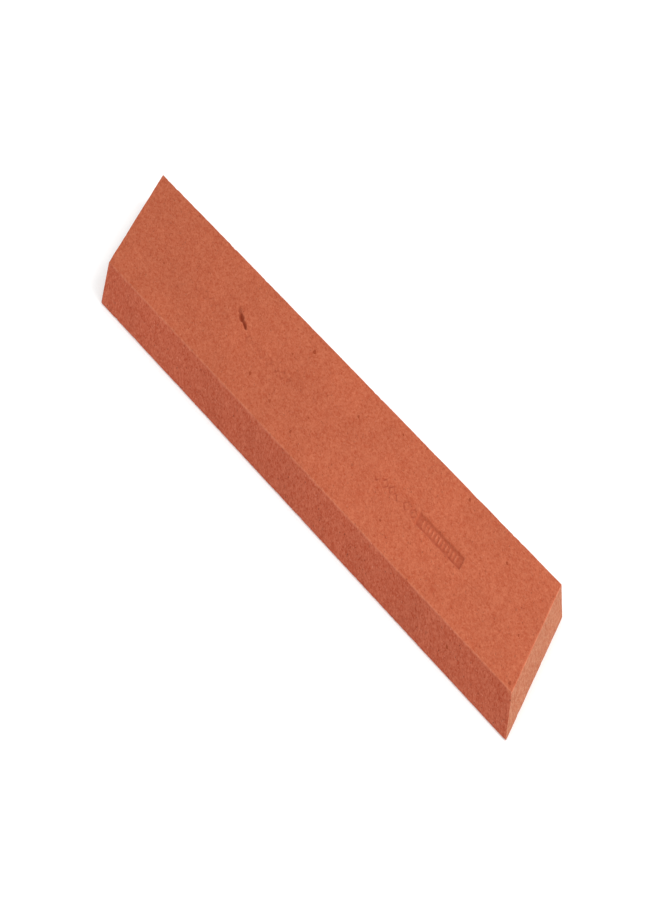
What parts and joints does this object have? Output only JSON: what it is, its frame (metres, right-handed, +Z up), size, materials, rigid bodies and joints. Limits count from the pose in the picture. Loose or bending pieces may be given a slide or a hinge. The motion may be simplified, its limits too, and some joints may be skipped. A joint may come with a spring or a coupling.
{
  "type": "bevelled abrasive bar",
  "caption": "Flat fired abrasive hand bar with square ends, one bevelled long side and a small stamped panel on its top face.",
  "frame": {"origin": "middle of the flat underside", "axes": "+X along the bar towards the end nearer the stamped panel, -Y towards the bevelled long side, +Z up out of the stamped top face"},
  "size_m": [0.15, 0.0295, 0.006],
  "materials": {
    "fired_body": "matt, fine-grained orange-brown vitrified body",
    "dark_mineral": "dull dark red-brown mineral"
  },
  "bodies": {
    "root": {"bar_body": "fired_body", "dark_grains": "dark_mineral"}
  },
  "joints": []
}
